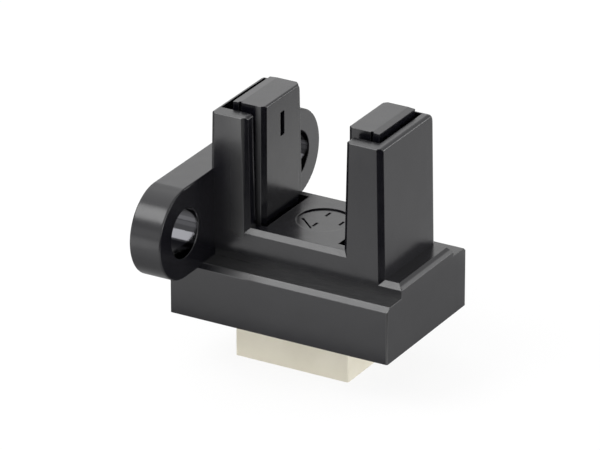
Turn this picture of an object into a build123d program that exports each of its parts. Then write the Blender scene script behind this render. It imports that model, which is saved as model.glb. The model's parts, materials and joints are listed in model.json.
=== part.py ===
from build123d import *
import os

os.makedirs("parts", exist_ok=True)

# Fork sensor: a slotted optical sensor with a side mounting flange and a plug socket below.
# Millimetres, +Z up. The flange's flat side stands against a wall at X = 0.
# The origin is on that side, midway between the two screw holes.
# Heights in this file count from the underside of the base; save() moves them to the origin.

# Mounting flange
hole_pitch = 13.8
hole_dia = 3.2
hole_height = 6.6
hole_bevel = 0.05
ear_radius = 3.0
ear_thick = 2.2
ear_round = 0.1
arm_in_ear = 0.44

# The slot, and the optical block on each side of it
slot_gap = 5.86
block_long = 2.23
block_deep = 4.54
block_mid = 0.27
block_proud = 0.4
block_sink = 1.2
block_bevel = 0.3
block_rim_round = 0.14
block_strip = 0.5
block_strip_drop = 0.04
block_groove_wide = 0.2
block_groove_deep = 0.15
block_outer_skin = 0.4
block_slot_skin = 0.5
block_end_skin = 0.5
block_roof = 0.6
slit_wide = 0.5
slit_tall = 1.62
slit_round = 0.1
slit_below_rim = 1.46
beam_mid = 0.21

# Room round each block, and the fork's walls outside that room
gap_front = 0.42
gap_back = 0.35
gap_outer = 0.32
gap_outer_emitter = 0.62
gap_floor = 0.38
front_wall = 0.93
back_wall = 0.46
side_wall = 0.56
arm_lean = 0.17
plate_setback = 0.57
plate_lean = 0.16

# Steps from the underside of the base up to the rim of the fork
ledge_height = 3.8
deck_step = 0.85
floor_step = 1.35
arm_tall = 7.4

# Margins of the base outside the fork, and how much higher the back ledge is
ledge_front = 1.75
ledge_back = 1.65
ledge_rise = 0.2
deck_margin = 1.32

# Edges of the case
ledge_bevel = 0.3
deck_bevel = 0.33
base_corner_round = 0.12
arm_corner_bevel = 0.33
slot_bevel = 0.32
plate_round = 0.2
front_rim_bevel = 0.06
back_rim_round = 0.5
side_rim_round = 0.24

# Round sunk mould mark on the slot floor, and grooves in it: across, along, length, turn
mark_mid = 0.3
mark_radius = 1.75
mark_depth = 0.09
groove_wide = 0.16
groove_depth = 0.08
mark_grooves = (
    (-0.79, -0.83, 1.6, -42),
    (-0.22, -0.75, 0.6, 90),
    (-0.26, 0.96, 0.6, 90),
    (1.14, 0.2, 0.6, 90),
)

# Inside of the base
base_wall = 0.8
roof_thick = 0.6
bridge_skin = 0.7
cavity_round = 0.3
post_size = 1.0
cover_thick = 0.6
cover_clear = 0.05

# Circuit board
board_thick = 0.8
board_room = 0.4
board_clear = 0.1
lead_hole_dia = 0.6
pin_hole_dia = 0.78

# Optical packages and their leads
package_back_clear = 0.06
package_side_clear = 0.15
package_roof_clear = 0.07
package_round = 0.2
lens_radius = 0.75
lens_rise = 0.3
lens_clear = 0.12
lead_wide = 0.4
lead_thick = 0.25
lead_pitch = 1.0
lead_seat = 0.5
lead_short = 0.1
lead_bevel = 0.06
lead_counts = {-1: 2, 1: 3}

# Plug socket and its pins
pin_count = 3
pin_pitch = 2.0
pin_size = 0.5
pin_point = 0.12
pin_recess = 0.8
pin_tail = 0.3
socket_end = 2.05
socket_deep = 4.5
socket_drop = 3.4
socket_shift = -0.83
socket_side_skin = 0.55
socket_face_skin = 0.5
socket_root = 1.2
socket_round = 0.12

# Solder joints and the chips under the board
lead_solder_dia = 0.84
pin_solder_dia = 1.26
solder_taper = 0.12
solder_tall = 0.28
chip_long = 1.6
chip_wide = 0.8
chip_tall = 0.45
chip_bevel = 0.06
chip_wall_gap = 0.35
chip_pitch = 2.3

# How far a cut runs past what it cuts, and how near two places count as one
past = 1.0
tolerance = 0.02

# Places worked out from the sizes above
deck_height = ledge_height + deck_step
floor_height = deck_height + floor_step
rim_height = floor_height + arm_tall
block_top = rim_height + block_proud
block_seat = floor_height - block_sink
slit_height = rim_height - slit_below_rim
roof_under = ledge_height - roof_thick
board_top = roof_under - board_room
board_low = board_top - board_thick

block_face = slot_gap / 2
block_back = block_face + block_long
block_y0 = block_mid - block_deep / 2
block_y1 = block_mid + block_deep / 2
pocket_y0 = block_y0 - gap_front
pocket_y1 = block_y1 + gap_back
pocket_out = block_back + gap_outer
floor_half = block_face - gap_floor

fork_front = pocket_y0 - front_wall
fork_back = pocket_y1 + back_wall
arm_half_top = pocket_out + side_wall
arm_half_deck = arm_half_top + arm_lean
slot_half_top = block_face + plate_setback
slot_half_floor = slot_half_top - plate_lean
fork_mid = ear_thick - arm_in_ear + arm_half_deck

base_front = fork_front - ledge_front
base_back = fork_back + ledge_back
base_long = fork_mid + arm_half_deck + deck_margin
base_mid_y = (base_front + base_back) / 2

cell_outer = block_back - block_outer_skin
cell_inner = block_face + block_slot_skin
cell_y0 = block_y0 + block_end_skin
cell_y1 = 2 * beam_mid - cell_y0

socket_mid = fork_mid + socket_shift
socket_half = (pin_count - 1) * pin_pitch / 2 + socket_end
socket_left = socket_mid - socket_half
socket_right = socket_mid + socket_half
socket_front = base_mid_y - socket_deep / 2
socket_back = base_mid_y + socket_deep / 2


def block(x0, x1, y0, y1, z0, z1):
    size = Box(x1 - x0, y1 - y0, z1 - z0)
    return Pos((x0 + x1) / 2, (y0 + y1) / 2, (z0 + z1) / 2) * size


def bar(x, y, wide_x, wide_y, z0, z1):
    return block(x - wide_x / 2, x + wide_x / 2, y - wide_y / 2, y + wide_y / 2, z0, z1)


def beside(side, near_mid, far, y0, y1, z0, z1):
    # A block on one side of the slot, given by its distances from the slot's middle
    x0, x1 = sorted((fork_mid + side * near_mid, fork_mid + side * far))
    return block(x0, x1, y0, y1, z0, z1)


def slab(points, y0, y1):
    face = make_face(Plane.XZ * Polyline(*points, close=True))
    return Pos(0, y0, 0) * extrude(face, y1 - y0, dir=(0, 1, 0))


def same(a, b):
    return abs(a - b) < tolerance


def edges_along(shape, axis, keep):
    return [e for e in shape.edges().filter_by(axis) if keep(e.center())]


def edges_at(shape, height):
    return [e for e in shape.edges() if same(e.center().Z, height)]


def save(shape, node):
    export_step(Pos(0, 0, -hole_height) * shape, "parts/" + node + ".step")


# Base block with a low ledge in front and a slightly higher one behind


def make_base():
    base = block(0, base_long, base_front, base_back, 0, ledge_height)
    base = base + block(0, base_long, fork_front, base_back, 0, ledge_height + ledge_rise)
    rims = edges_along(base, Axis.X, lambda c: c.Z > ledge_height / 2)
    rims = [e for e in rims if same(e.center().Y, base_front) or same(e.center().Y, base_back)]
    base = chamfer(rims, ledge_bevel)
    ends = lambda c: same(c.Y, base_front) or same(c.Y, base_back)
    return fillet(edges_along(base, Axis.Z, ends), base_corner_round)


# Raised deck between the ledges, which the fork stands on


def make_deck():
    deck = block(0, base_long, fork_front, fork_back, roof_under, deck_height)
    return chamfer(edges_at(deck, deck_height), deck_bevel)


# U-shaped fork: each arm leans in towards its rim, as it leaves the mould


def make_fork():
    lean = arm_lean / (rim_height - deck_height)
    foot_half = arm_half_deck + lean * (deck_height - roof_under)
    outline = [
        (fork_mid - foot_half, roof_under),
        (fork_mid + foot_half, roof_under),
        (fork_mid + arm_half_top, rim_height),
        (fork_mid + slot_half_top, rim_height),
        (fork_mid + slot_half_floor, floor_height),
        (fork_mid - slot_half_floor, floor_height),
        (fork_mid - slot_half_top, rim_height),
        (fork_mid - arm_half_top, rim_height),
    ]
    fork = slab(outline, fork_front, fork_back)

    def front_uprights(low, high):
        tall = [e for e in fork.edges() if e.bounding_box().size.Z > arm_tall / 2]
        tall = [e for e in tall if same(e.center().Y, fork_front)]
        return [e for e in tall if low < abs(e.center().X - fork_mid) < high]

    fork = chamfer(front_uprights(slot_half_top, foot_half), arm_corner_bevel)
    sill = edges_along(
        fork, Axis.X, lambda c: same(c.Z, floor_height) and same(c.Y, fork_front)
    )
    fork = chamfer(sill + front_uprights(block_face, slot_half_top), slot_bevel)
    rims = edges_along(
        fork, Axis.X, lambda c: same(c.Z, rim_height) and same(c.Y, fork_front)
    )
    fork = chamfer(rims, front_rim_bevel)
    tops = edges_along(fork, Axis.X, lambda c: same(c.Z, rim_height) and same(c.Y, fork_back))
    fork = fillet(tops, back_rim_round)
    # This round runs on from each side rim over the back corner and down the back edge
    sides = edges_along(
        fork,
        Axis.Y,
        lambda c: same(c.Z, rim_height) and same(abs(c.X - fork_mid), arm_half_top),
    )
    return fillet(sides, side_rim_round)


# Flange with a rounded end and a screw hole on each side of the fork


def make_flange():
    shape = SlotCenterToCenter(hole_pitch, 2 * ear_radius)
    flange = extrude(Plane.YZ * (Pos(0, hole_height) * shape), ear_thick)
    rims = [e for e in flange.edges() if same(e.center().X, 0) or same(e.center().X, ear_thick)]
    return fillet(rims, ear_round)


def cut_screw_holes(case):
    for side in (-1, 1):
        at = Pos(ear_thick / 2, side * hole_pitch / 2, hole_height) * Rot(0, 90, 0)
        case = case - at * Cylinder(hole_dia / 2, ear_thick + past)
    rims = [
        e
        for e in case.edges().filter_by(GeomType.CIRCLE)
        if same(e.radius, hole_dia / 2) and same(abs(e.arc_center.Y), hole_pitch / 2)
    ]
    return chamfer(rims, hole_bevel)


# Open pocket for each optical block, with a window for its leads below


def cut_pockets(case):
    for side, far in ((-1, block_back + gap_outer_emitter), (1, pocket_out)):
        case = case - beside(
            side, floor_half, far, pocket_y0, pocket_y1, block_seat, rim_height + past
        )
        case = case - beside(
            side, cell_inner, cell_outer, cell_y0, cell_y1, roof_under - past, block_seat + past
        )
    return case


# The front walls are thin plates now, and their ends towards the slot are rounded on top


def round_plate_ends(case):
    ends = [
        e
        for e in edges_at(case, rim_height)
        if e.center().Y < pocket_y0 and same(abs(e.center().X - fork_mid), slot_half_top)
    ]
    return fillet(ends, plate_round)


# Hollow inside of the base, also under the slot floor, and posts for the board


def cut_base_hollow(case):
    hollow = block(
        base_wall,
        base_long - base_wall,
        base_front + base_wall,
        base_back - base_wall,
        -past,
        roof_under,
    )
    case = case - fillet(edges_along(hollow, Axis.Z, lambda c: True), cavity_round)
    half = floor_half - bridge_skin
    case = case - block(
        fork_mid - half,
        fork_mid + half,
        fork_front + front_wall,
        fork_back - bridge_skin,
        roof_under - past,
        floor_height - bridge_skin,
    )
    for x in (base_wall, base_long - base_wall - post_size):
        for y in (base_front + base_wall, base_back - base_wall - post_size):
            case = case + block(x, x + post_size, y, y + post_size, board_top, ledge_height)
    return case


# Shallow round mark with short grooves that the mould leaves on the slot floor


def cut_mould_mark(case):
    at = Pos(fork_mid, mark_mid, floor_height)
    case = case - at * Cylinder(mark_radius, 2 * mark_depth)
    for across, along, length, turn in mark_grooves:
        groove = Box(length, groove_wide, 2 * (mark_depth + groove_depth))
        case = case - at * Pos(across, along, 0) * Rot(0, 0, turn) * groove
    return case


# Optical block: closed top, open foot, and one slit that looks across the slot


def optical_block(side):
    face = fork_mid + side * block_face
    body = beside(side, block_face, block_back, block_y0, block_y1, block_seat, block_top)
    body = chamfer(edges_along(body, Axis.Z, lambda c: same(c.X, face)), block_bevel)
    rim = edges_along(body, Axis.Y, lambda c: same(c.Z, block_top) and same(c.X, face))
    body = fillet(rim, block_rim_round)
    # The outer strip of the top slopes down, with a groove below it in the front
    strip_x = block_back - block_strip
    slope = block_strip_drop / block_strip
    wedge = [
        (fork_mid + side * strip_x, block_top),
        (fork_mid + side * (block_back + past), block_top - slope * (block_strip + past)),
        (fork_mid + side * (block_back + past), block_top + past),
        (fork_mid + side * strip_x, block_top + past),
    ]
    body = body - slab(wedge, block_y0 - past, block_y1 + past)
    body = body - beside(
        side,
        strip_x - block_groove_wide / 2,
        strip_x + block_groove_wide / 2,
        block_y0 - past,
        block_y0 + block_groove_deep,
        floor_height,
        block_top + past,
    )
    body = body - beside(
        side, cell_inner, cell_outer, cell_y0, cell_y1, block_seat - past, block_top - block_roof
    )
    slit = RectangleRounded(slit_wide, slit_tall, slit_round)
    slit = extrude(Plane.YZ * (Pos(beam_mid, slit_height) * slit), block_slot_skin, both=True)
    return body - Pos(face, 0, 0) * slit


# Optical package: a small moulding with a lens towards the slit

package_far = cell_outer - package_back_clear
package_near = cell_inner + lens_clear + lens_rise
package_deep = cell_y1 - cell_y0 - 2 * package_side_clear
package_tall = 2 * (block_top - block_roof - package_roof_clear - slit_height)
package_low = slit_height - package_tall / 2
lead_across = (package_far + package_near) / 2


def lead_rows(side):
    count = lead_counts[side]
    return [beam_mid + (i - (count - 1) / 2) * lead_pitch for i in range(count)]


def lead_bar(side, y, low, high):
    return bar(fork_mid + side * lead_across, y, lead_thick, lead_wide, low, high)


def package(side):
    y0 = beam_mid - package_deep / 2
    y1 = beam_mid + package_deep / 2
    high = package_low + package_tall
    body = beside(side, package_near, package_far, y0, y1, package_low, high)
    body = fillet(edges_along(body, Axis.X, lambda c: True), package_round)
    ball = (lens_radius**2 + lens_rise**2) / (2 * lens_rise)
    middle = fork_mid + side * (package_near - lens_rise + ball)
    lens = Pos(middle, beam_mid, slit_height) * Rot(0, 90, 0) * Sphere(ball)
    cap = beside(side, cell_inner, package_near + lens_rise, y0, y1, package_low, high)
    body = body + (lens & cap)
    for y in lead_rows(side):
        body = body - lead_bar(side, y, package_low - past, package_low + lead_seat)
    return body


def make_lead(side, y):
    low = board_low + lead_short
    lead = lead_bar(side, y, low, package_low + lead_seat)
    return chamfer(edges_at(lead, low), lead_bevel)


# Plug socket, open at the foot, with straight pins through its root

pin_low = pin_recess - socket_drop
pin_spots = [
    (socket_mid + (i - (pin_count - 1) / 2) * pin_pitch, base_mid_y) for i in range(pin_count)
]
lead_spots = [
    (fork_mid + side * lead_across, y) for side in lead_counts for y in lead_rows(side)
]


def make_pin(x, y):
    pin = bar(x, y, pin_size, pin_size, pin_low, board_top + pin_tail)
    return chamfer(edges_at(pin, pin_low), pin_point)


def make_socket():
    socket = block(
        socket_left, socket_right, socket_front, socket_back, -socket_drop, board_low
    )
    socket = fillet(edges_along(socket, Axis.Z, lambda c: True), socket_round)
    socket = socket - block(
        socket_left + socket_side_skin,
        socket_right - socket_side_skin,
        socket_front + socket_face_skin,
        socket_back - socket_face_skin,
        -socket_drop - past,
        board_low - socket_root,
    )
    for x, y in pin_spots:
        socket = socket - bar(x, y, pin_size, pin_size, pin_low, board_top)
    return socket


# Board and cover both follow the hollow in the base


def base_plate(clear, low, high):
    plate = block(
        base_wall + clear,
        base_long - base_wall - clear,
        base_front + base_wall + clear,
        base_back - base_wall - clear,
        low,
        high,
    )
    return fillet(edges_along(plate, Axis.Z, lambda c: True), cavity_round)


def make_board():
    board = base_plate(board_clear, board_low, board_top)
    for spots, dia in ((lead_spots, lead_hole_dia), (pin_spots, pin_hole_dia)):
        for x, y in spots:
            board = board - Pos(x, y, board_top) * Cylinder(dia / 2, 2 * board_thick + past)
    return board


def make_cover():
    cover = base_plate(cover_clear, 0, cover_thick)
    return cover - block(
        socket_left - cover_clear,
        socket_right + cover_clear,
        socket_front - cover_clear,
        socket_back + cover_clear,
        -past,
        cover_thick + past,
    )


def solder_cone(x, y, dia, wide_x, wide_y):
    cone = Cone(dia / 2, dia / 2 - solder_taper, solder_tall)
    cone = Pos(x, y, board_top + solder_tall / 2) * cone
    return cone - bar(x, y, wide_x, wide_y, board_low, roof_under)


def make_solder():
    joints = [solder_cone(x, y, lead_solder_dia, lead_thick, lead_wide) for x, y in lead_spots]
    joints += [solder_cone(x, y, pin_solder_dia, pin_size, pin_size) for x, y in pin_spots]
    return Compound(children=joints)


def make_chip(row):
    x = base_long - base_wall - chip_wall_gap - chip_wide / 2
    y = base_mid_y + row * chip_pitch
    chip = bar(x, y, chip_wide, chip_long, board_low - chip_tall, board_low)
    return chamfer(chip.edges(), chip_bevel)


# The moulded case is one piece

case = make_base() + make_deck() + make_fork() + make_flange()
case = cut_screw_holes(case)
case = cut_pockets(case)
case = round_plate_ends(case)
case = cut_base_hollow(case)
case = cut_mould_mark(case)
save(case, "case")

# What the case holds
for side, name in ((-1, "emitter"), (1, "receiver")):
    save(optical_block(side), name + "_block")
    save(package(side), name + "_package")
    for i, y in enumerate(lead_rows(side)):
        save(make_lead(side, y), name + "_lead_" + str(i + 1))

for i, (x, y) in enumerate(pin_spots):
    save(make_pin(x, y), "connector_pin_" + str(i + 1))
save(make_socket(), "connector_housing")
save(make_board(), "circuit_board")
save(make_solder(), "solder_joints")
save(make_cover(), "base_cover")

for row, name in ((-1, "limiting_resistor"), (0, "pullup_resistor"), (1, "bypass_capacitor")):
    save(make_chip(row), name)
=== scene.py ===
import json
import math

import bpy
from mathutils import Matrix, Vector


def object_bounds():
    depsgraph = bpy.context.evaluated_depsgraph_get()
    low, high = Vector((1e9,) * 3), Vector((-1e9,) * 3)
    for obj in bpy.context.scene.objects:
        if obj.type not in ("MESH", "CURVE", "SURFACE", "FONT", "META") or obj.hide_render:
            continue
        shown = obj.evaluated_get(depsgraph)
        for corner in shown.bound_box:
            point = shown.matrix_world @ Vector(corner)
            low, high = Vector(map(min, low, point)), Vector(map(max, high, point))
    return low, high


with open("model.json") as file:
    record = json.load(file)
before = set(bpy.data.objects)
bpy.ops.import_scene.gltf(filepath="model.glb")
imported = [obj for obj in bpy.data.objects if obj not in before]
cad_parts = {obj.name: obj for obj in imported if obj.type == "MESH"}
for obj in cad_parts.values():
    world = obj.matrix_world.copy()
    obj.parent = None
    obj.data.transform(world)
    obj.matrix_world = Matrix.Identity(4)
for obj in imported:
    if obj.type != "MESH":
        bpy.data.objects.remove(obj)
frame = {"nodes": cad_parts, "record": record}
cad_low, cad_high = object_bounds()

# Metres, in the part's own frame: the flange's flat side is at X = 0
MM = 0.001


def rgb(r, g, b):
    return (r, g, b, 1.0)


# Camera, fitted to the photograph's corners

CAMERA_AT = Vector((176.2, -296.7, 154.3)) * MM
CAMERA_LOOKS_AT = Vector((7.193, -1.351, -0.492)) * MM
LENS = 361.75
SENSOR = 36.0
CLIP_NEAR = 0.01
CLIP_FAR = 20.0

# Studio. A level of 1 is the white of the background.

WHITE = rgb(1.0, 1.0, 1.0)
FLOOR_Z = cad_low.z
FLOOR_HALF = 3.0
FLOOR_COLOUR = rgb(0.95, 0.95, 0.95)
FLOOR_SHARE_WHITE = 0.88
WORLD_LIGHT = 0.85
WORLD_SEEN = 1.0

# Name, direction from the part, distance, width, height, level
SOFTBOXES = (
    ("key_softbox", (-0.45, -0.53, 0.72), 0.8, 0.5, 0.38, 5.2),
    ("top_softbox", (-0.45, 0.3, 0.83), 1.0, 0.9, 0.6, 0.8),
    ("back_softbox", (-0.45, 0.79, 0.3), 1.0, 1.0, 0.4, 0.5),
    ("edge_softbox", (0.61, 0.79, 0.0), 1.0, 0.3, 0.12, 3.0),
    ("left_fill", (-0.35, -0.9, 0.12), 0.9, 1.4, 0.25, 0.5),
    ("right_fill", (0.95, 0.25, 0.1), 0.9, 1.4, 0.25, 4.6),
)

# Cards on the floor: name, X and Y from and to in millimetres, then the level seen
# from above and at the photograph's own slant. An earlier row lies over a later one.
CARDS = (
    ("card_corner", 16, 27, -12, -3, 1.4, 1.4),
    ("card_corner_front", 14, 18.5, -18, -12, 1.4, 1.4),
    ("card_left", -90, -9, -90, -24, 0.6, 2.2),
    ("card_front_near", -9, 18, -25, -15.5, 0.38, 1.52),
    ("card_front_far", -9, 18, -90, -29, 0.38, 1.15),
    ("card_front", -60, 18, -90, -11, 0.38, 1.37),
    # The card under the part is painted shadow: in reflections it stands in for the part's shadow
    # on the floor
    ("card_shadow_under", -9, 18, -11, 11, 0.5, 0.45),
    ("card_near_right", 18, 24, -3, 17, 0.6, 0.6),
    ("card_back", 5, 22, 17, 130, 1.12, 1.12),
    ("card_right", 22, 90, -3, 130, 0.77, 0.77),
    ("flag_back_left", -200, 5, 11, 200, 0.15, 0.15),
    ("flag_left", -60, -9, -11, 11, 0.25, 0.25),
    ("flag_right", 18, 140, -100, -3, 0.0, 0.0),
)
CARD_RISE = 0.0005
CARD_LAYER = 0.00002
CARD_SLANT = 0.56

# Moulded plastic: pattern scales per millimetre, and how strongly each one shows

MOTTLE_SCALE = 0.45
GRAIN_SCALE = 14.0
FLOW_SCALE = 1.3
WAVE_SCALE = 0.9
SPECK_SCALE = 1.1
SPECK_SIZE = 0.045
SPECK_SHARE = 0.5
SPECK_LIGHTER = 8
SPECK_LIGHTEST = 0.9
# Outer edges are lightened in colour as wear and as a painted highlight
WORN_AND_SHEEN_SHARE = 0.8
GRAIN_BUMP = 0.25
WAVE_BUMP = 0.3
WAVE_DEEPER = 6

# Black moulding

BLACK = rgb(0.0027, 0.0026, 0.0044)
BLACK_LIGHT = rgb(0.0043, 0.0042, 0.006)
# Lighter black for outer edges: wear, and a painted highlight
BLACK_WORN_AND_SHEEN = rgb(0.04, 0.04, 0.041)

# Screw holes, whose walls a polished core pin leaves smooth, darkened low down and in the back
# hole as painted shade

HOLE_Y = 6.9
HOLE_RADIUS = 1.6
HOLE_SKIN = 0.02
BORE_GREY = rgb(0.056, 0.056, 0.06)
# The back hole's wall is a darker copy of the same grey: painted shade
BORE_GREY_BACK_SHADED = rgb(0.025, 0.025, 0.027)
BORE_ROUGH = 0.07
BORE_TIP = (-0.045, 0.0, 0.25)
# Painted shade: the dark colour the lower bore wall fades to
BORE_PAINTED_SHADE = rgb(0.003, 0.003, 0.004)
BORE_SHADE_TOP = -1.05
BORE_SHADE_FADE = 0.15

# Places on the mouldings, each a product of ramps in millimetres: axis, where it is
# 0, where it is 1

BACK_HOLE = (("Y", 0.0, 1.0),)
LEDGE = (
    ("X", 2.2, 2.3),
    ("Z", -2.1, -2.8),
    ("Z", -2.9, -2.82),
    ("Y", -4.9, -4.8),
    ("Y", -3.25, -3.33),
)
PLATE_FRONT = (
    ("X", 2.75, 4.15),
    ("X", 4.35, 4.25),
    ("Y", -3.0, -3.05),
    ("Z", -1.5, -0.9),
)
PLATE_END = (
    ("X", 4.2, 4.25),
    ("X", 4.65, 4.6),
    ("Y", -3.02, -2.98),
    ("Y", -2.56, -2.6),
    ("Z", -0.3, -0.2),
)
BASE_EDGE = (
    ("X", 2.6, 4.6),
    ("X", 5.7, 5.2),
    ("Y", -4.75, -4.85),
    ("Z", -3.2, -3.1),
)
BASE_CORNER = (
    ("X", 15.36, 15.4),
    ("Y", -4.96, -5.0),
    ("Z", -2.95, -3.1),
)
DECK_EDGE = (
    ("X", 15.15, 15.22),
    ("Y", -3.3, -3.1),
    ("Z", -2.34, -2.28),
    ("Z", -2.08, -2.16),
)
BLOCK_FRONT = (
    ("X", 4.35, 4.6),
    ("X", 4.8, 4.74),
    ("Y", -1.9, -1.98),
    ("Z", -6.0, 7.0),
)

# The front ledge's lighter colour: dust, and painted light
LEDGE_DUST_AND_LIGHT = rgb(0.038, 0.038, 0.039)
LEDGE_STREAK_STRETCH = (0.15, 1.0, 1.0)
LEDGE_STREAK_SCALE = 5.0
LEDGE_STREAK_LEAST = 0.75
PLATE_END_TIP = (0.0, -0.5, 0.0)
# Painted light: the lower plate front, the base's front bevel near the flange, its front right
# corner and the deck's right edge are lightened in colour
CASE_PAINTED_LIGHT = (
    (PLATE_FRONT, rgb(0.028, 0.028, 0.0287)),
    (BASE_EDGE, rgb(0.06, 0.06, 0.0615)),
    (BASE_CORNER, rgb(0.026, 0.026, 0.0266)),
    (DECK_EDGE, rgb(0.075, 0.075, 0.077)),
)
# Painted light: the block's front end is lightened in colour
BLOCK_PAINTED_LIGHT = ((BLOCK_FRONT, rgb(0.06, 0.06, 0.0615)),)

scene = bpy.context.scene
scene.view_settings.view_transform = "Standard"


# Small helpers for node graphs


def graph(tree):
    tree.nodes.clear()

    def add(kind, inputs=(), **settings):
        made = tree.nodes.new(kind)
        for key, value in settings.items():
            setattr(made, key, value)
        for key, value in dict(inputs).items():
            if isinstance(value, bpy.types.NodeSocket):
                tree.links.new(value, made.inputs[key])
            else:
                made.inputs[key].default_value = value
        return made

    return add


def new_material(name):
    made = bpy.data.materials.new(name)
    made.use_nodes = True
    return made, graph(made.node_tree)


def maths(add, kind, a, b=0.0, clamp=False):
    return add("ShaderNodeMath", {0: a, 1: b}, operation=kind, use_clamp=clamp).outputs[0]


def spread(add, value, low, high, to_low=0.0, to_high=1.0):
    made = add(
        "ShaderNodeMapRange",
        {"Value": value, "From Min": low, "From Max": high, "To Min": to_low, "To Max": to_high},
    )
    return made.outputs["Result"]


def mix(add, kind, share, a, b):
    """A Mix node's sockets are found by identifier, because their names repeat."""
    made = add("ShaderNodeMix", data_type={"Color": "RGBA", "Vector": "VECTOR"}[kind])
    for key, value in (("Factor_Float", share), (f"A_{kind}", a), (f"B_{kind}", b)):
        socket = next(s for s in made.inputs if s.identifier == key)
        if isinstance(value, bpy.types.NodeSocket):
            made.id_data.links.new(value, socket)
        else:
            socket.default_value = value
    return next(s for s in made.outputs if s.identifier == f"Result_{kind}")


def blend(add, share, a, b):
    return mix(add, "Color", share, a, b)


# Coordinates in millimetres, from each node's own mesh


def in_mm(add, stretch=(1.0, 1.0, 1.0)):
    place = add("ShaderNodeTexCoord").outputs["Object"]
    scale = tuple(s / MM for s in stretch)
    return add("ShaderNodeMapping", {"Vector": place, "Scale": scale}).outputs["Vector"]


def along_axes(add, place):
    return add("ShaderNodeSeparateXYZ", {"Vector": place}).outputs


def noise(add, place, per_mm, detail=2.0, rough=0.5):
    made = add(
        "ShaderNodeTexNoise",
        {"Vector": place, "Scale": per_mm, "Detail": detail, "Roughness": rough},
    )
    return made.outputs["Fac"]


def specks(add, place, per_mm, size):
    cells = add("ShaderNodeTexVoronoi", {"Vector": place, "Scale": per_mm, "Randomness": 1.0})
    return spread(add, cells.outputs["Distance"], size, size * 0.5)


def within(add, place, ramps):
    """Product of ramps, each (axis, where it is 0, where it is 1), in millimetres."""
    parts = along_axes(add, place)
    share = 1.0
    for axis, empty, full in ramps:
        share = maths(add, "MULTIPLY", share, spread(add, parts[axis], empty, full))
    return share


# Normals


def soft_edges(add, radius):
    """Normals rounded at outer edges, and a share near 1 there and 0 on flats."""
    true = add("ShaderNodeNewGeometry").outputs["Normal"]
    soft = add("ShaderNodeBevel", {"Radius": radius}, samples=6).outputs["Normal"]
    # An inner corner is shaded by its neighbour, so it keeps the true normal
    open_air = add("ShaderNodeAmbientOcclusion", {"Distance": 2 * radius}, samples=8).outputs["AO"]
    outer = spread(add, open_air, 0.8, 0.95)
    dot = add("ShaderNodeVectorMath", {0: true, 1: soft}, operation="DOT_PRODUCT")
    share = maths(add, "MULTIPLY", outer, spread(add, dot.outputs["Value"], 0.998, 0.9))
    return mix(add, "Vector", outer, true, soft), share


def tip_normal(add, normal, share, towards):
    """Tips a normal, where share is 1, as a little draft or wear does."""
    push = add("ShaderNodeVectorMath", {0: towards, "Scale": share}, operation="SCALE").outputs[0]
    tipped = add("ShaderNodeVectorMath", {0: normal, 1: push}, operation="ADD").outputs[0]
    return add("ShaderNodeVectorMath", {0: tipped}, operation="NORMALIZE").outputs[0]


def bump(add, strength, distance, height, **onto):
    made = add(
        "ShaderNodeBump",
        {"Strength": strength, "Distance": distance, "Height": height, **onto},
    )
    return made.outputs["Normal"]


def finish_surface(add, colour, rough, normal, **fixed):
    shader = add("ShaderNodeBsdfPrincipled")
    links = shader.id_data.links
    links.new(colour, shader.inputs["Base Color"])
    links.new(rough, shader.inputs["Roughness"])
    links.new(normal, shader.inputs["Normal"])
    for key, value in fixed.items():
        shader.inputs[key.replace("_", " ")].default_value = value
    out = add("ShaderNodeOutputMaterial")
    links.new(shader.outputs["BSDF"], out.inputs["Surface"])
    return shader


# Moulded plastic


def bore_share(add, place):
    """1 on the walls of the two screw holes."""
    parts = along_axes(add, place)
    across = maths(add, "SUBTRACT", maths(add, "ABSOLUTE", parts["Y"]), HOLE_Y)
    flat = add("ShaderNodeCombineXYZ", {"X": across, "Y": parts["Z"]}).outputs["Vector"]
    reach = add("ShaderNodeVectorMath", {0: flat}, operation="LENGTH").outputs["Value"]
    return maths(add, "LESS_THAN", reach, HOLE_RADIUS + HOLE_SKIN)


def bore_wall(add, place):
    # Painted shade: the lower wall and the whole back hole are darkened in colour
    painted_shade = spread(add, along_axes(add, place)["Z"], BORE_SHADE_TOP, BORE_SHADE_TOP - BORE_SHADE_FADE)
    wall = blend(add, within(add, place, BACK_HOLE), BORE_GREY, BORE_GREY_BACK_SHADED)
    return blend(add, painted_shade, wall, BORE_PAINTED_SHADE)


def ledge_dust_and_light(add, place):
    """1 on the front ledge, fading up the wall behind it, with streaks along the ledge. There the
    ledge is lightened in colour, as dust and as painted light.
    """
    streaks = noise(add, in_mm(add, LEDGE_STREAK_STRETCH), LEDGE_STREAK_SCALE, 3.0)
    streaks = spread(add, streaks, 0.35, 0.65, LEDGE_STREAK_LEAST, 1.0)
    return maths(add, "MULTIPLY", within(add, place, LEDGE), streaks)


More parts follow.
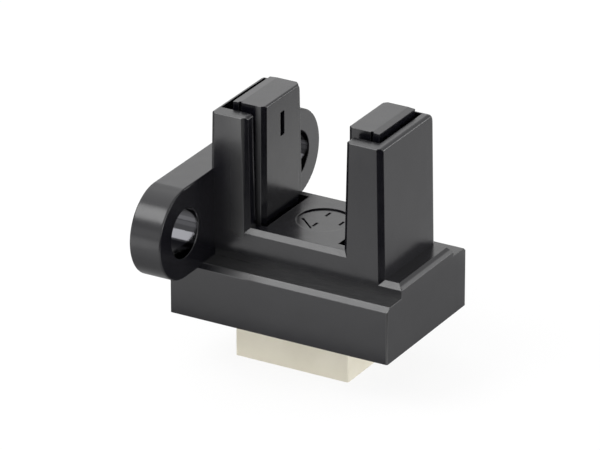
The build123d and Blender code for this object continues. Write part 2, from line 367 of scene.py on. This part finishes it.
def moulded(name, dark, light, worn_and_sheen, rough_range, grain, edge, painted_light=(), case=False, **fixed):
    """Slow mottling, fine tool grain, a few dust specks, outer edges lightened as wear and as a
    painted highlight. Grain and edge in mm.
    """
    made, add = new_material(name)
    place = in_mm(add)
    slow = noise(add, place, MOTTLE_SCALE, 3.0)
    fine = noise(add, place, GRAIN_SCALE, 3.0, 0.6)
    flow = noise(add, place, FLOW_SCALE, 4.0)
    dust = specks(add, place, SPECK_SCALE, SPECK_SIZE)
    normal, at_edge = soft_edges(add, edge * MM)

    speck = rgb(*(min(SPECK_LIGHTEST, SPECK_LIGHTER * c) for c in light[:3]))
    body = blend(add, spread(add, slow, 0.35, 0.65), dark, light)
    # Outer edges lightened in colour, as wear and as a painted highlight
    body = blend(add, maths(add, "MULTIPLY", at_edge, WORN_AND_SHEEN_SHARE), body, worn_and_sheen)
    body = blend(add, maths(add, "MULTIPLY", dust, SPECK_SHARE), body, speck)
    # Patches lightened in colour as painted light
    for ramps, colour in painted_light:
        body = blend(add, within(add, place, ramps), body, colour)
    rough = spread(add, maths(add, "ADD", flow, fine), 0.7, 1.3, *rough_range)

    if case:
        inside = bore_share(add, place)
        # Front ledge lightened in colour as dust and as painted light
        body = blend(add, ledge_dust_and_light(add, place), body, LEDGE_DUST_AND_LIGHT)
        body = blend(add, inside, body, bore_wall(add, place))
        rough = spread(add, inside, 0.0, 1.0, rough, BORE_ROUGH)
        normal = tip_normal(add, normal, inside, BORE_TIP)
        normal = tip_normal(add, normal, within(add, place, PLATE_END), PLATE_END_TIP)

    waves = noise(add, place, WAVE_SCALE, 1.0)
    normal = bump(add, GRAIN_BUMP, grain * MM, fine, Normal=normal)
    normal = bump(add, WAVE_BUMP, WAVE_DEEPER * grain * MM, waves, Normal=normal)
    shader = finish_surface(add, body, rough, normal, **fixed)
    if case:
        shader.id_data.links.new(inside, shader.inputs["Metallic"])
    return made


# Drawn or melted metal, duller in patches


def metal(name, colour, rough_range, along=(1.0, 1.0, 0.1)):
    made, add = new_material(name)
    drawn = noise(add, in_mm(add, along), 9.0, 3.0)
    dull = noise(add, in_mm(add), 1.6, 3.0)
    dark = rgb(*(0.72 * c for c in colour[:3]))
    body = blend(add, spread(add, dull, 0.3, 0.7), dark, colour)
    rough = spread(add, drawn, 0.3, 0.7, *rough_range)
    finish_surface(add, body, rough, bump(add, 0.2, 0.004 * MM, drawn), Metallic=1.0)
    return made


# Board: glass weave under a green mask, with copper runs that show through as a lighter green

MASK_DARK = rgb(0.006, 0.05, 0.022)
MASK_LIGHT = rgb(0.009, 0.07, 0.03)
MASK_OVER_COPPER = rgb(0.03, 0.14, 0.05)
COPPER_RUNS = {"Scale": 1.0, "Mortar Size": 0.22, "Brick Width": 3.1, "Row Height": 1.3}


def board_material(name):
    made, add = new_material(name)
    place = in_mm(add)
    weave_a, weave_b = (
        add("ShaderNodeTexWave", {"Vector": place, "Scale": 1.6}, bands_direction=axis)
        for axis in "XY"
    )
    weave = maths(add, "MULTIPLY", weave_a.outputs["Fac"], weave_b.outputs["Fac"])
    runs = add("ShaderNodeTexBrick", {"Vector": place, **COPPER_RUNS}).outputs["Fac"]
    slow = noise(add, place, 0.7, 2.0)
    body = blend(add, spread(add, slow, 0.3, 0.7), MASK_DARK, MASK_LIGHT)
    body = blend(add, maths(add, "MULTIPLY", runs, 0.55), body, MASK_OVER_COPPER)
    rough = spread(add, slow, 0.3, 0.7, 0.22, 0.34)
    height = maths(add, "ADD", maths(add, "MULTIPLY", weave, 0.3), runs)
    finish_surface(add, body, rough, bump(add, 0.4, 0.02 * MM, height))
    return made


# Chips: a ceramic body with a plated cap at each end

CHIP_CAP = rgb(0.66, 0.65, 0.62)
CHIP_CAP_FROM = 0.29
CHIP_CAP_TO = 0.31


def chip_material(name, dark, light):
    made, add = new_material(name)
    place = in_mm(add)
    along = along_axes(add, add("ShaderNodeTexCoord").outputs["Generated"])["Y"]
    from_middle = maths(add, "ABSOLUTE", maths(add, "SUBTRACT", along, 0.5))
    cap = spread(add, from_middle, CHIP_CAP_FROM, CHIP_CAP_TO)
    grain = noise(add, place, 12.0, 3.0)
    body = blend(add, spread(add, grain, 0.3, 0.7), dark, light)
    body = blend(add, cap, body, CHIP_CAP)
    rough = spread(add, grain, 0.3, 0.7, 0.3, 0.42)
    shader = finish_surface(add, body, rough, bump(add, 0.3, 0.01 * MM, grain))
    made.node_tree.links.new(cap, shader.inputs["Metallic"])
    return made


# One finish for each of the record's material slots

materials = {
    "case_plastic": moulded(
        "moulded_black",
        dark=BLACK,
        light=BLACK_LIGHT,
        worn_and_sheen=BLACK_WORN_AND_SHEEN,
        rough_range=(0.2, 0.26),
        grain=0.004,
        edge=0.05,
        painted_light=CASE_PAINTED_LIGHT,
        case=True,
    ),
    "block_plastic": moulded(
        "moulded_black_gloss",
        dark=BLACK,
        light=BLACK_LIGHT,
        worn_and_sheen=BLACK_WORN_AND_SHEEN,
        rough_range=(0.18, 0.24),
        grain=0.003,
        edge=0.04,
        painted_light=BLOCK_PAINTED_LIGHT,
    ),
    "cover_plastic": moulded(
        "moulded_black_cover",
        dark=BLACK,
        light=BLACK_LIGHT,
        worn_and_sheen=BLACK_WORN_AND_SHEEN,
        rough_range=(0.2, 0.3),
        grain=0.006,
        edge=0.05,
    ),
    "socket_plastic": moulded(
        "moulded_cream",
        dark=rgb(0.72, 0.68, 0.56),
        light=rgb(0.77, 0.73, 0.61),
        worn_and_sheen=rgb(0.74, 0.71, 0.61),
        rough_range=(0.36, 0.48),
        grain=0.005,
        edge=0.06,
    ),
    "clear_moulding": moulded(
        "moulded_clear",
        dark=rgb(0.62, 0.60, 0.66),
        light=rgb(0.70, 0.69, 0.73),
        worn_and_sheen=rgb(0.72, 0.72, 0.75),
        rough_range=(0.06, 0.1),
        grain=0.001,
        edge=0.03,
        Transmission_Weight=0.6,
    ),
    "dark_moulding": moulded(
        "moulded_dark",
        dark=rgb(0.012, 0.008, 0.012),
        light=rgb(0.018, 0.012, 0.018),
        worn_and_sheen=rgb(0.03, 0.02, 0.03),
        rough_range=(0.06, 0.1),
        grain=0.001,
        edge=0.03,
    ),
    "lead_metal": metal("tinned_lead", rgb(0.70, 0.69, 0.66), (0.22, 0.34)),
    "pin_metal": metal("tinned_pin", rgb(0.76, 0.74, 0.69), (0.14, 0.24)),
    "solder": metal("solder_joint", rgb(0.66, 0.66, 0.65), (0.12, 0.3), (1.0, 1.0, 1.0)),
    "board": board_material("solder_mask_green"),
    "chip": chip_material("chip_black", rgb(0.012, 0.012, 0.013), rgb(0.02, 0.02, 0.021)),
    "chip_capacitor": chip_material("chip_tan", rgb(0.30, 0.19, 0.10), rgb(0.38, 0.25, 0.14)),
}

# Every CAD node keeps its mesh and takes its finish from its slot

slot_of = {row["node"]: row["material_slot"] for row in frame["record"]["subparts"]}

for node, shape in frame["nodes"].items():
    shape.data.materials.clear()
    shape.data.materials.append(materials[slot_of[node]])


# Studio: white floor and surround, softboxes, and cards that only reflections meet


def linked(name, data):
    made = bpy.data.objects.new(name, data)
    scene.collection.objects.link(made)
    return made


def facing(placed, direction, up):
    placed.rotation_mode = "QUATERNION"
    placed.rotation_quaternion = direction.to_track_quat(up, "Y")


def sheet(name, x0, x1, y0, y1, z, paint):
    """A level sheet that isn't part of the object."""
    mesh = bpy.data.meshes.new(name)
    mesh.from_pydata([(x0, y0, z), (x1, y0, z), (x1, y1, z), (x0, y1, z)], [], [(0, 1, 2, 3)])
    made = linked(name, mesh)
    made.data.materials.append(paint)
    return made


def seen_share(add):
    path = add("ShaderNodeLightPath").outputs
    seen = maths(add, "ADD", path["Is Camera Ray"], path["Is Glossy Ray"])
    return maths(add, "ADD", seen, path["Is Transmission Ray"], clamp=True)


def floor_material():
    made, add = new_material("studio_floor")
    share = maths(add, "MULTIPLY", seen_share(add), FLOOR_SHARE_WHITE)
    lit = add("ShaderNodeBsdfDiffuse", {"Color": FLOOR_COLOUR})
    glow = add("ShaderNodeEmission", {"Color": WHITE, "Strength": 1.0})
    both = add("ShaderNodeMixShader", {0: share, 1: lit.outputs[0], 2: glow.outputs[0]})
    # From below the floor is clear, so the underside can be looked at
    below = add("ShaderNodeNewGeometry").outputs["Backfacing"]
    clear = add("ShaderNodeBsdfTransparent")
    one_way = add("ShaderNodeMixShader", {0: below, 1: both.outputs[0], 2: clear.outputs[0]})
    add("ShaderNodeOutputMaterial", {"Surface": one_way.outputs[0]})
    return made


def surround():
    world = bpy.data.worlds.new("studio")
    scene.world = world
    world.use_nodes = True
    add = graph(world.node_tree)
    strength = spread(add, seen_share(add), 0.0, 1.0, WORLD_LIGHT, WORLD_SEEN)
    glow = add("ShaderNodeBackground", {"Color": WHITE, "Strength": strength})
    add("ShaderNodeOutputWorld", {"Surface": glow.outputs[0]})


def softbox(name, towards, distance, wide, tall, level):
    """A lamp whose face has this level."""
    lamp = bpy.data.lights.new(name, "AREA")
    lamp.shape = "RECTANGLE"
    lamp.size = wide
    lamp.size_y = tall
    lamp.energy = level * math.pi * wide * tall
    direction = Vector(towards).normalized()
    made = linked(name, lamp)
    made.location = (cad_low + cad_high) / 2 + direction * distance
    facing(made, direction, "Z")


def card(layer, name, x0, x1, y0, y1, steep, flat):
    """A card just over the floor, whose level runs from steep to flat with the slant."""
    paint, add = new_material(name)
    slant = add("ShaderNodeLayerWeight", {"Blend": 0.5}).outputs["Facing"]
    level = spread(add, slant, 0.0, CARD_SLANT, steep, flat)
    glow = add("ShaderNodeEmission", {"Color": WHITE, "Strength": level})
    add("ShaderNodeOutputMaterial", {"Surface": glow.outputs[0]})
    made = sheet(name, x0 * MM, x1 * MM, y0 * MM, y1 * MM, FLOOR_Z + CARD_RISE, paint)
    made.location.z = layer * CARD_LAYER
    made.visible_camera = False
    made.visible_diffuse = False
    made.visible_shadow = False
    made.visible_transmission = False


sheet("floor", -FLOOR_HALF, FLOOR_HALF, -FLOOR_HALF, FLOOR_HALF, FLOOR_Z, floor_material())
surround()
for row in SOFTBOXES:
    softbox(*row)
for layer, row in enumerate(reversed(CARDS)):
    card(layer, *row)

camera = linked("camera", bpy.data.cameras.new("camera"))
camera.data.lens = LENS
camera.data.sensor_width = SENSOR
camera.data.clip_start = CLIP_NEAR
camera.data.clip_end = CLIP_FAR
camera.location = CAMERA_AT
facing(camera, CAMERA_LOOKS_AT - CAMERA_AT, "-Z")
scene.camera = camera
